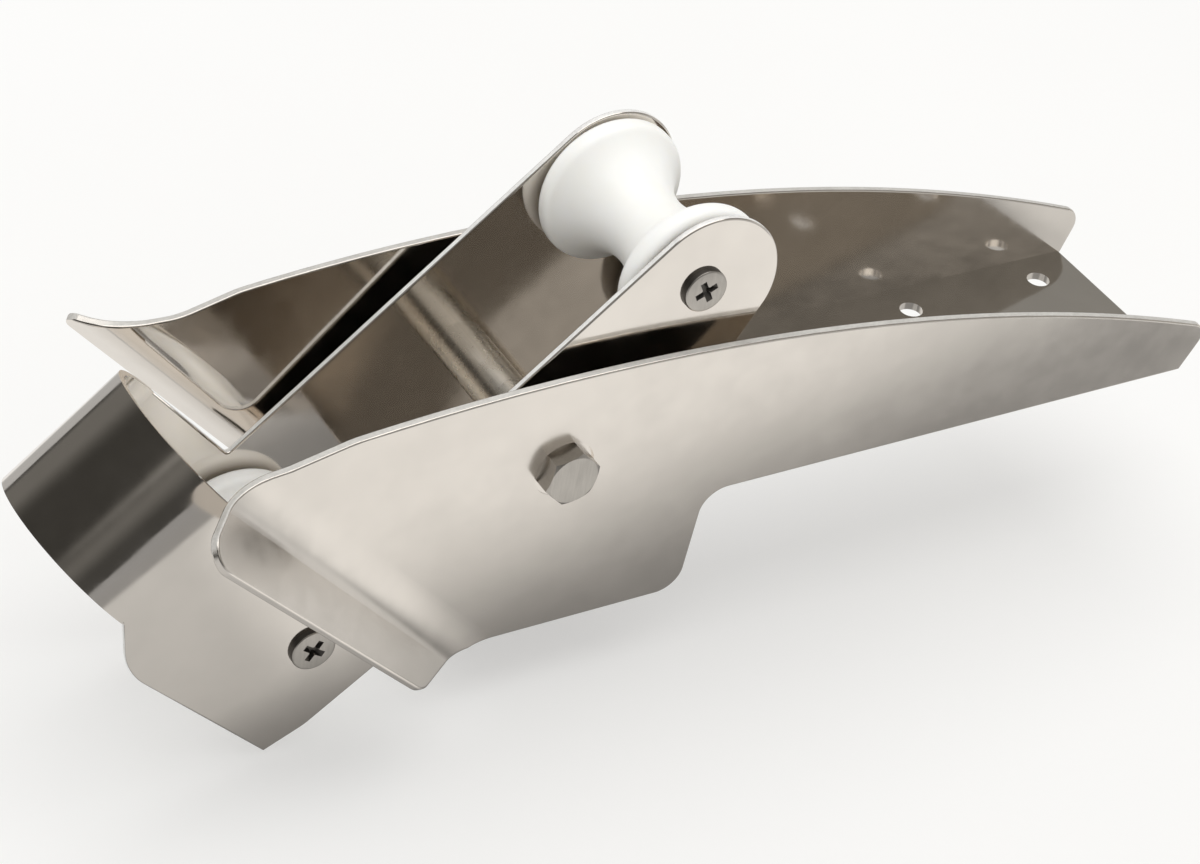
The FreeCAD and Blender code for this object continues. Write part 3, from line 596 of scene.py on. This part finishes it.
def plate_outline(cradle):
    """The side plate seen from starboard, with the nose to the right, anticlockwise from the head's top."""
    head_top = (-cradle.head_back, cradle.top)
    head_middle = (-cradle.head_back, cradle.top - cradle.head_radius)
    heel = (-cradle.heel_back, -cradle.depth)
    belly = (cradle.belly, -cradle.depth)
    chin = (cradle.nose - cradle.chin_back, -cradle.chin_drop)
    nose = (cradle.nose, -cradle.nose_drop)
    brow = (cradle.nose + cradle.brow_out, cradle.brow_height)
    meet = (cradle.hood_front, cradle.hood_spring - cradle.seam_edge)
    front_seam = (cradle.hood_front, cradle.hood_spring)
    rear_seam = (cradle.hood_rear, cradle.hood_spring)
    foot = (cradle.hood_rear, cradle.top)
    points = arc(head_middle, cradle.head_radius, start=90, end=245, steps=48)
    points += [Vector(heel), Vector(belly)]
    points += rounded(belly, chin, nose, cradle.chin_round)
    points += [Vector(nose)]
    points += rounded(nose, brow, meet, cradle.brow_round)
    points += [Vector(meet), Vector(front_seam), Vector(rear_seam)]
    points += rounded(rear_seam, foot, head_top, cradle.foot_round, steps=6)
    return points


def drawn_in(points, distance, seam):
    """The outline moved inwards by a distance, but not at the seam with the hood; it runs anticlockwise."""
    sharpest = 0.5
    slack = 1e-6
    moved = []
    for index, point in enumerate(points):
        back = (point - points[index - 1]).normalized()
        on = (points[(index + 1) % len(points)] - point).normalized()
        inward = Vector((-back.y - on.y, back.x + on.x)).normalized()
        share = max(sharpest, inward.dot(Vector((-on.y, on.x))))
        place = point + inward * distance / share
        if point.y > seam - slack:
            place.y = seam
        moved.append(place)
    return moved


def join_loops(bm, loops):
    """Skins the space between each loop of vertices and the next with four-sided faces."""
    for low, high in zip(loops, loops[1:]):
        for index in range(len(low)):
            following = (index + 1) % len(low)
            bm.faces.new((low[index], low[following], high[following], high[index]))


def close_form(bm, loops):
    """A closed form through loops of vertices, with a face over each end."""
    join_loops(bm, loops)
    bm.faces.new(loops[0])
    bm.faces.new(list(reversed(loops[-1])))
    bmesh.ops.recalc_face_normals(bm, faces=bm.faces)


def plate_loop(bm, cradle, points, across):
    """A vertex for each point of an outline, at a distance to port of the cradle's middle."""
    return [bm.verts.new(cradle_point(cradle, point.x, across, point.y)) for point in points]


def add_plate(bm, cradle, side):
    """A side plate with rounded edges and holes for the pivot and the screws; its flats are triangles."""
    outline = plate_outline(cradle)
    outer = side * cradle.half_width
    inner = side * (cradle.half_width - cradle.gauge)
    soft = cradle.edge_round
    steps = 4
    rings = []
    for step in range(steps + 1):
        turn = math.radians(90 * step / steps)
        rings.append((outer - side * soft * (1 - math.sin(turn)), soft * (1 - math.cos(turn))))
    rings = [(inner + outer - place, inset) for place, inset in reversed(rings)] + rings
    loops = []
    for place, inset in rings:
        loops.append(plate_loop(bm, cradle, drawn_in(outline, inset, cradle.hood_spring), place))
    join_loops(bm, loops)
    pivot = (0.0, 0.0)
    rear_axle = (-cradle.rear_axle, cradle.axle_height)
    front_axle = (cradle.nose - cradle.front_axle, cradle.axle_height)
    flat = [drawn_in(outline, soft, cradle.hood_spring)]
    holes = []
    for middle, radius in (
        (pivot, cradle.bore), (rear_axle, cradle.screw_hole), (front_axle, cradle.screw_hole),
    ):
        circle = arc(middle, radius, start=0, end=360, steps=48)[:-1]
        ends = [plate_loop(bm, cradle, circle, place) for place in (inner, outer)]
        join_loops(bm, ends)
        holes.append(ends)
        flat.append(list(reversed(circle)))
    triangles = tessellate_polygon([[point.to_3d() for point in line] for line in flat])
    for end in (0, -1):
        verts = list(loops[end])
        for ends in holes:
            verts += reversed(ends[end])
        for triangle in triangles:
            corners = [verts[index] for index in triangle]
            if len(set(corners)) == 3:
                bm.faces.new(corners)
    bmesh.ops.recalc_face_normals(bm, faces=bm.faces)


def add_hood(bm, cradle):
    """The hood that bridges the two side plates over the front roller."""
    steps = 72
    rows = []
    for step in range(steps + 1):
        turn = math.pi * step / steps
        row = []
        for inset in (0.0, cradle.gauge):
            across = (cradle.half_width - inset) * math.cos(turn)
            above = cradle.hood_spring + (cradle.hood_rise - inset) * math.sin(turn)
            for along in (cradle.hood_rear, cradle.hood_front):
                row.append(bm.verts.new(cradle_point(cradle, along, across, above)))
        rows.append((row[0], row[1], row[3], row[2]))
    close_form(bm, rows)


class BOWROLLER_OT_rollers(bpy.types.Operator):
    """Finish the two nylon rollers and the nylon ring in the nut"""

    bl_idname = "bowroller.rollers"
    bl_label = "Rollers"

    def execute(self, context):
        finish(ROLLERS, nylon("roller_nylon"))
        finish(["pivot_nut_insert"], nylon("insert_nylon"))
        return {"FINISHED"}


class BOWROLLER_OT_tubes(bpy.types.Operator):
    """Finish the hinge tube, the axle sleeves, spacers and washers"""

    bl_idname = "bowroller.tubes"
    bl_label = "Tubes and Washers"

    def execute(self, context):
        steel = context.scene.bow_roller_steel
        material = worked_steel(
            "tube_steel", steel.tube_colour, steel.tube_roughness,
            lines=(3000.0, 25.0, 3000.0), relief=0.0000008,
        )
        finish(TUBES, material)
        return {"FINISHED"}


class BOWROLLER_OT_bolt(bpy.types.Operator):
    """Finish the pivot bolt and its nut, and add the thread on the bolt's end"""

    bl_idname = "bowroller.bolt"
    bl_label = "Pivot Bolt"

    def execute(self, context):
        steel = context.scene.bow_roller_steel
        thread = context.scene.bow_roller_thread
        material = worked_steel(
            "bolt_steel", steel.fastener_colour, steel.fastener_roughness,
            lines=(1400.0, 1400.0, 90.0), relief=0.000008,
        )
        finish(["pivot_bolt", "pivot_nut"], material)
        end = Vector(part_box("pivot_bolt")[0]).y
        start = Vector(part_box("pivot_nut")[0]).y
        axle = middle_of("pivot_bolt")
        bm = bmesh.new()
        add_thread(bm, axle, start, end, thread)
        add_piece("bolt_thread", bm, material, "channel")
        return {"FINISHED"}


def add_thread(bm, axle, start, end, thread):
    """A ridge that winds round the bolt from one place along Y to the other."""
    free_turns = 0.6
    lead_in = 0.45
    fade_steps = 12
    half_foot = thread.pitch * 0.44
    half_crest = half_foot * 0.15
    run = end - start
    turns = abs(run) / thread.pitch - free_turns
    steps = int(turns * thread.facets)
    rows = []
    for step in range(steps + 1):
        angle = 2 * math.pi * step / thread.facets
        along = start + math.copysign(thread.pitch * (lead_in + step / thread.facets), run)
        fade = min(1.0, step / fade_steps, (steps - step) / fade_steps)
        crest = thread.root_radius + (thread.crest_radius - thread.root_radius) * fade
        row = []
        for radius, shift in (
            (thread.root_radius, -half_foot), (crest, -half_crest),
            (crest, half_crest), (thread.root_radius, half_foot),
        ):
            row.append(bm.verts.new((
                axle.x + radius * math.cos(angle), along + shift, axle.z + radius * math.sin(angle),
            )))
        rows.append(row)
    close_form(bm, rows)


class BOWROLLER_OT_screws(bpy.types.Operator):
    """Build the four axle screws with their cross recess"""

    bl_idname = "bowroller.screws"
    bl_label = "Axle Screws"

    def execute(self, context):
        steel = context.scene.bow_roller_steel
        screw = context.scene.bow_roller_screw
        material = worked_steel(
            "screw_steel", steel.fastener_colour, steel.screw_roughness,
            lines=(1100.0, 1100.0, 120.0), relief=0.000006,
        )
        # painted shade in the recess and on the head's rim
        painted_shade_steel = worked_steel(
            "recess_shade_steel", steel.recess_shade_colour, steel.recess_roughness,
            lines=(900.0, 900.0, 900.0), relief=0.000006,
        )
        for node, turn in zip(SCREW_NODES, (screw.rear_turn, screw.front_turn)):
            bm = bmesh.new()
            middle = middle_of(node)
            seat = Vector(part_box(node)[1]).y - screw.plain_height
            for side in (1, -1):
                head = screw_head(screw, turn)
                place = Matrix.Translation((middle.x, side * seat, middle.z))
                head.transform(place @ Matrix.Rotation(-side * math.pi / 2, 4, "X"))
                bm.from_mesh(head)
                bpy.data.meshes.remove(head)
            name = node.replace("axle_screws", "screw_pair")
            piece = add_piece(name, bm, material, "cradle")
            piece.data.materials.append(painted_shade_steel)
            piece.data.set_sharp_from_angle(angle=math.radians(35))
            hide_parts(node)
        return {"FINISHED"}


def screw_head(screw, turn):
    """The mesh of one slightly domed head, facing +Z with its seat at the origin."""
    bm = bmesh.new()
    shoulder = screw.head_height * 0.93
    face_radius = screw.head_radius - screw.rim_round
    steps = 6
    profile = [(0.0, screw.head_height), (face_radius, shoulder)]
    for step in range(1, steps + 1):
        angle = math.pi / 2 * (1 - step / steps)
        profile.append((
            face_radius + screw.rim_round * math.cos(angle),
            shoulder - screw.rim_round + screw.rim_round * math.sin(angle),
        ))
    profile.append((screw.head_radius, 0.0))
    profile.append((0.0, 0.0))
    edges = []
    points = [bm.verts.new((radius, 0, height)) for radius, height in profile]
    for first, second in zip(points, points[1:]):
        edges.append(bm.edges.new((first, second)))
    bmesh.ops.spin(
        bm, geom=points + edges, cent=(0, 0, 0), axis=(0, 0, 1), angle=2 * math.pi, steps=screw.facets,
        use_merge=True,
    )
    bmesh.ops.remove_doubles(bm, verts=bm.verts, dist=1e-7)
    bmesh.ops.recalc_face_normals(bm, faces=bm.faces)
    head = make_object("head", bm)
    for cutter in recess_cutters(screw, turn):
        cut = head.modifiers.new("cut", "BOOLEAN")
        cut.operation = "DIFFERENCE"
        cut.solver = "EXACT"
        cut.object = cutter
        mesh = bpy.data.meshes.new_from_object(head.evaluated_get(bpy.context.evaluated_depsgraph_get()))
        head.modifiers.clear()
        head.data = mesh
        bpy.data.objects.remove(cutter)
    mesh = head.data
    bpy.data.objects.remove(head)
    # painted shade: the recess and the head's steep rim have the darker steel, standing in for the shade
    # that falls in them
    slack = 0.0001
    for face in mesh.polygons:
        middle = face.center
        inside = math.hypot(middle.x, middle.y) < screw.head_radius - screw.rim_round * 1.5
        sunk = slack < middle.z < shoulder - slack
        rim = not inside and abs(face.normal.z) < 0.4
        face.material_index = int(inside and sunk or rim)
    return mesh


def make_object(name, bm):
    """An object for as long as it is cut, or cuts."""
    mesh = bpy.data.meshes.new(name)
    bm.to_mesh(mesh)
    bm.free()
    thing = bpy.data.objects.new(name, mesh)
    bpy.context.scene.collection.objects.link(thing)
    bpy.context.view_layer.update()
    return thing


def recess_cutters(screw, turn):
    """Two crossed tapered blades and a pointed middle."""
    cutters = []
    top = screw.head_height * 1.2
    low = screw.head_height - screw.recess_depth
    for quarter in (0, 1):
        bm = bmesh.new()
        corners = []
        for height, reach, width in (
            (top, screw.recess_reach * 1.06, screw.recess_width * 1.1),
            (low, screw.recess_reach * 0.42, screw.recess_width * 0.62),
        ):
            half = width / 2
            for x, y in ((-reach, -half), (reach, -half), (reach, half), (-reach, half)):
                corners.append(bm.verts.new((x, y, height)))
        bm.faces.new(corners[:4])
        bm.faces.new(corners[4:])
        join_loops(bm, (corners[:4], corners[4:]))
        bmesh.ops.recalc_face_normals(bm, faces=bm.faces)
        bmesh.ops.rotate(bm, verts=bm.verts, matrix=Matrix.Rotation(turn + quarter * math.pi / 2, 3, "Z"))
        cutters.append(make_object("blade", bm))
    bm = bmesh.new()
    bmesh.ops.create_cone(
        bm, cap_ends=True, segments=24, depth=top - low, matrix=Matrix.Translation((0, 0, (top + low) / 2)),
        radius1=screw.recess_width * 0.25, radius2=screw.recess_width * 0.98,
    )
    cutters.append(make_object("middle", bm))
    return cutters


class BOWROLLER_OT_stage(bpy.types.Operator):
    """Set up the floor, the light and the camera"""

    bl_idname = "bowroller.stage"
    bl_label = "Stage"

    def execute(self, context):
        settings = context.scene.bow_roller_stage
        make_camera(settings)
        make_floor(settings)
        make_room(settings)
        make_softbox(settings)
        return {"FINISHED"}


def make_camera(settings):
    """The camera, from its place and the directions of its right and its back."""
    right = Vector(settings.camera_right).normalized()
    back = Vector(settings.camera_back).normalized()
    right = (right - back * right.dot(back)).normalized()
    up = back.cross(right)
    data = bpy.data.cameras.new("camera")
    data.lens = settings.lens
    data.sensor_width = 36.0
    data.clip_end = 100
    camera = bpy.data.objects.new("camera", data)
    turned = Matrix((right, up, back)).transposed().to_4x4()
    camera.matrix_world = Matrix.Translation(settings.camera_place) @ turned
    bpy.context.scene.collection.objects.link(camera)
    bpy.context.scene.camera = camera


def make_floor(settings):
    """A round floor, matt near the object so that it holds the shadow, and fading into the background."""
    bm = bmesh.new()
    bmesh.ops.create_circle(bm, cap_ends=True, segments=128, radius=settings.floor_radius)
    bmesh.ops.translate(bm, verts=bm.verts, vec=(settings.floor_forward, 0.0, settings.floor_height))
    mesh = bpy.data.meshes.new("floor")
    bm.to_mesh(mesh)
    bm.free()
    floor = bpy.data.objects.new("floor", mesh)
    bpy.context.scene.collection.objects.link(floor)
    material, make, shader = new_material("floor")
    mesh.materials.append(material)
    place = object_place(make)
    paper = use_group(make, "soft clouds", "Value", Place=place, Size=0.2)
    colour = make.blend(paper, tinted(settings.floor_colour, 0.985), tinted(settings.floor_colour))
    # painted shade: for glossy rays the floor's colour and its pale glow are darkened by position, standing
    # in for the object's shadow and a darker room
    tone = painted_reflected_shade(make, place)
    make.feed(shader["Base Color"], make.blend(tone, BLACK, colour))
    shader["Roughness"].default_value = 0.9
    shader["Specular IOR Level"].default_value = 0.0
    away = make.add("VectorMath", output=1, settings={"operation": "LENGTH"}, i0=place)
    matt = make.tree.nodes["Principled BSDF"].outputs[0]
    pale = make.add("Emission", Color=make.blend(tone, BLACK, WHITE), Strength=1.0)
    fade = make.spread(away, 0.3, 1.0, 0.4, 1.0, smooth=True)
    mixed = make.add("MixShader", i0=fade, i1=matt, i2=pale)
    make.feed(make.tree.nodes["Material Output"].inputs["Surface"], mixed)


def painted_reflected_shade(make, place):
    """How bright the floor is in the steel, as painted shade that glossy rays alone see: dim under the part
    and far off, bright along each side.
    """
    spot = make.add("SeparateXYZ", Vector=place).node.outputs
    sideways = make.math("ABSOLUTE", spot["Y"])
    aside = make.math("ADD", sideways, make.math("MULTIPLY", spot["X"], BAND_TAPER))
    beside = make.spread(aside, *PAINTED_FLOOR_SHADE["beside"], smooth=True)
    ahead = make.spread(spot["X"], *PAINTED_FLOOR_SHADE["ahead"], smooth=True)
    abaft = make.spread(spot["X"], *PAINTED_FLOOR_SHADE["abaft"], smooth=True)
    under = make.spread(aside, *PAINTED_FLOOR_SHADE["under"], smooth=True)
    near = make.math("MAXIMUM", make.math("MINIMUM", beside, ahead), make.math("MAXIMUM", abaft, under))
    lee_side = make.spread(spot["Y"], *PAINTED_FLOOR_SHADE["lee side"])
    lee = make.math("MULTIPLY", lee_side, make.spread(spot["X"], *PAINTED_FLOOR_SHADE["lee end"]))
    wide = make.spread(sideways, *PAINTED_FLOOR_SHADE["wide"], smooth=True)
    seen = make.math("MULTIPLY", make.math("MAXIMUM", near, lee), wide)
    glossy = make.tree.nodes.new("ShaderNodeLightPath").outputs["Is Glossy Ray"]
    return make.math("MAXIMUM", seen, make.math("SUBTRACT", 1.0, glossy))


def make_room(settings):
    """White behind the object, soft fill light, and a dim room that only the steel mirrors."""
    world = bpy.data.worlds.new("studio")
    world.use_nodes = True
    bpy.context.scene.world = world
    make = NodeMaker(world.node_tree)
    direction = make.add("SeparateXYZ", Vector=object_place(make, "Generated")).node.outputs

    def part(name, axis, smooth=True):
        return make.spread(direction[axis], *ROOM_PARTS[name], smooth=smooth)

    room = make.blend(part("beside", "X"), tinted(settings.back_colour), tinted(settings.room_colour))
    ahead = part("ahead", "X")
    room = make.blend(ahead, room, tinted(settings.dark_colour))
    middle = make.math("MULTIPLY", part("middle", "X", smooth=False), make.math("SUBTRACT", 1.0, ahead))
    high = make.math("MULTIPLY", middle, part("high", "Z"))
    port = part("port", "Y")
    ground = make.math("MULTIPLY", port, part("ground", "Z"))
    room = make.blend(ground, room, tinted(settings.far_colour))
    room = make.blend(make.math("MULTIPLY", port, high), room, tinted(settings.window_colour))
    abaft = make.math("MULTIPLY", port, part("abaft", "X", smooth=False))
    wall = make.blend(part("roof", "Z"), tinted(settings.window_colour), tinted(settings.room_colour, 0.75))
    room = make.blend(abaft, room, wall)
    skyline = make.blend(part("behind", "X"), tinted(settings.glow_colour), tinted(settings.far_colour))
    aside = make.spread(make.math("ABSOLUTE", direction["Y"]), *ROOM_PARTS["aside"], smooth=True)
    astern = make.math("MULTIPLY", aside, part("astern", "X"))
    glow = make.math("MULTIPLY", astern, part("glow", "Z"))
    room = make.blend(glow, room, tinted(settings.glow_colour))
    mirrored = make.blend(part("horizon", "Z"), skyline, room)
    path = world.node_tree.nodes.new("ShaderNodeLightPath").outputs
    glossy = make.math("MAXIMUM", path["Is Glossy Ray"], path["Is Transmission Ray"])
    light = make.blend(glossy, tinted(settings.fill_colour), mirrored)
    seen = make.blend(path["Is Camera Ray"], light, WHITE)
    make.feed(world.node_tree.nodes["Background"].inputs["Color"], seen)


def make_softbox(settings):
    """A square softbox that faces down."""
    lamp = bpy.data.lights.new("softbox", "AREA")
    lamp.shape = "SQUARE"
    lamp.size = settings.softbox_side
    lamp.energy = settings.softbox_power
    softbox = bpy.data.objects.new("softbox", lamp)
    softbox.location = settings.softbox_place
    bpy.context.scene.collection.objects.link(softbox)


class BOWROLLER_PT_panel(bpy.types.Panel):
    """Bow roller"""

    bl_label = "Bow Roller"
    bl_idname = "BOWROLLER_PT_panel"
    bl_space_type = "VIEW_3D"
    bl_region_type = "UI"
    bl_category = "Bow Roller"

    def draw(self, context):
        for operator in OPERATORS:
            self.layout.operator(operator.bl_idname)
        for attribute, group in SETTINGS.items():
            box = self.layout.box()
            for name in group.__annotations__:
                box.prop(getattr(context.scene, attribute), name)


SETTINGS = {
    "bow_roller_stage": StageSettings,
    "bow_roller_steel": SteelSettings,
    "bow_roller_cradle": CradleSettings,
    "bow_roller_rollers": RollerSettings,
    "bow_roller_screw": ScrewSettings,
    "bow_roller_thread": ThreadSettings,
}
OPERATORS = (
    BOWROLLER_OT_groups,
    BOWROLLER_OT_stage,
    BOWROLLER_OT_channel,
    BOWROLLER_OT_cradle,
    BOWROLLER_OT_rollers,
    BOWROLLER_OT_tubes,
    BOWROLLER_OT_bolt,
    BOWROLLER_OT_screws,
)
CLASSES = (*SETTINGS.values(), *OPERATORS, BOWROLLER_PT_panel)


def register():
    for item in CLASSES:
        bpy.utils.register_class(item)
    for attribute, group in SETTINGS.items():
        setattr(bpy.types.Scene, attribute, PointerProperty(type=group))


def unregister():
    for attribute in SETTINGS:
        delattr(bpy.types.Scene, attribute)
    for item in reversed(CLASSES):
        bpy.utils.unregister_class(item)


def main():
    register()
    bpy.context.scene.view_settings.view_transform = "Standard"
    bpy.ops.bowroller.groups()
    bpy.ops.bowroller.stage()
    bpy.ops.bowroller.channel()
    bpy.ops.bowroller.cradle()
    bpy.ops.bowroller.rollers()
    bpy.ops.bowroller.tubes()
    bpy.ops.bowroller.bolt()
    bpy.ops.bowroller.screws()


if __name__ == "__main__":
    main()
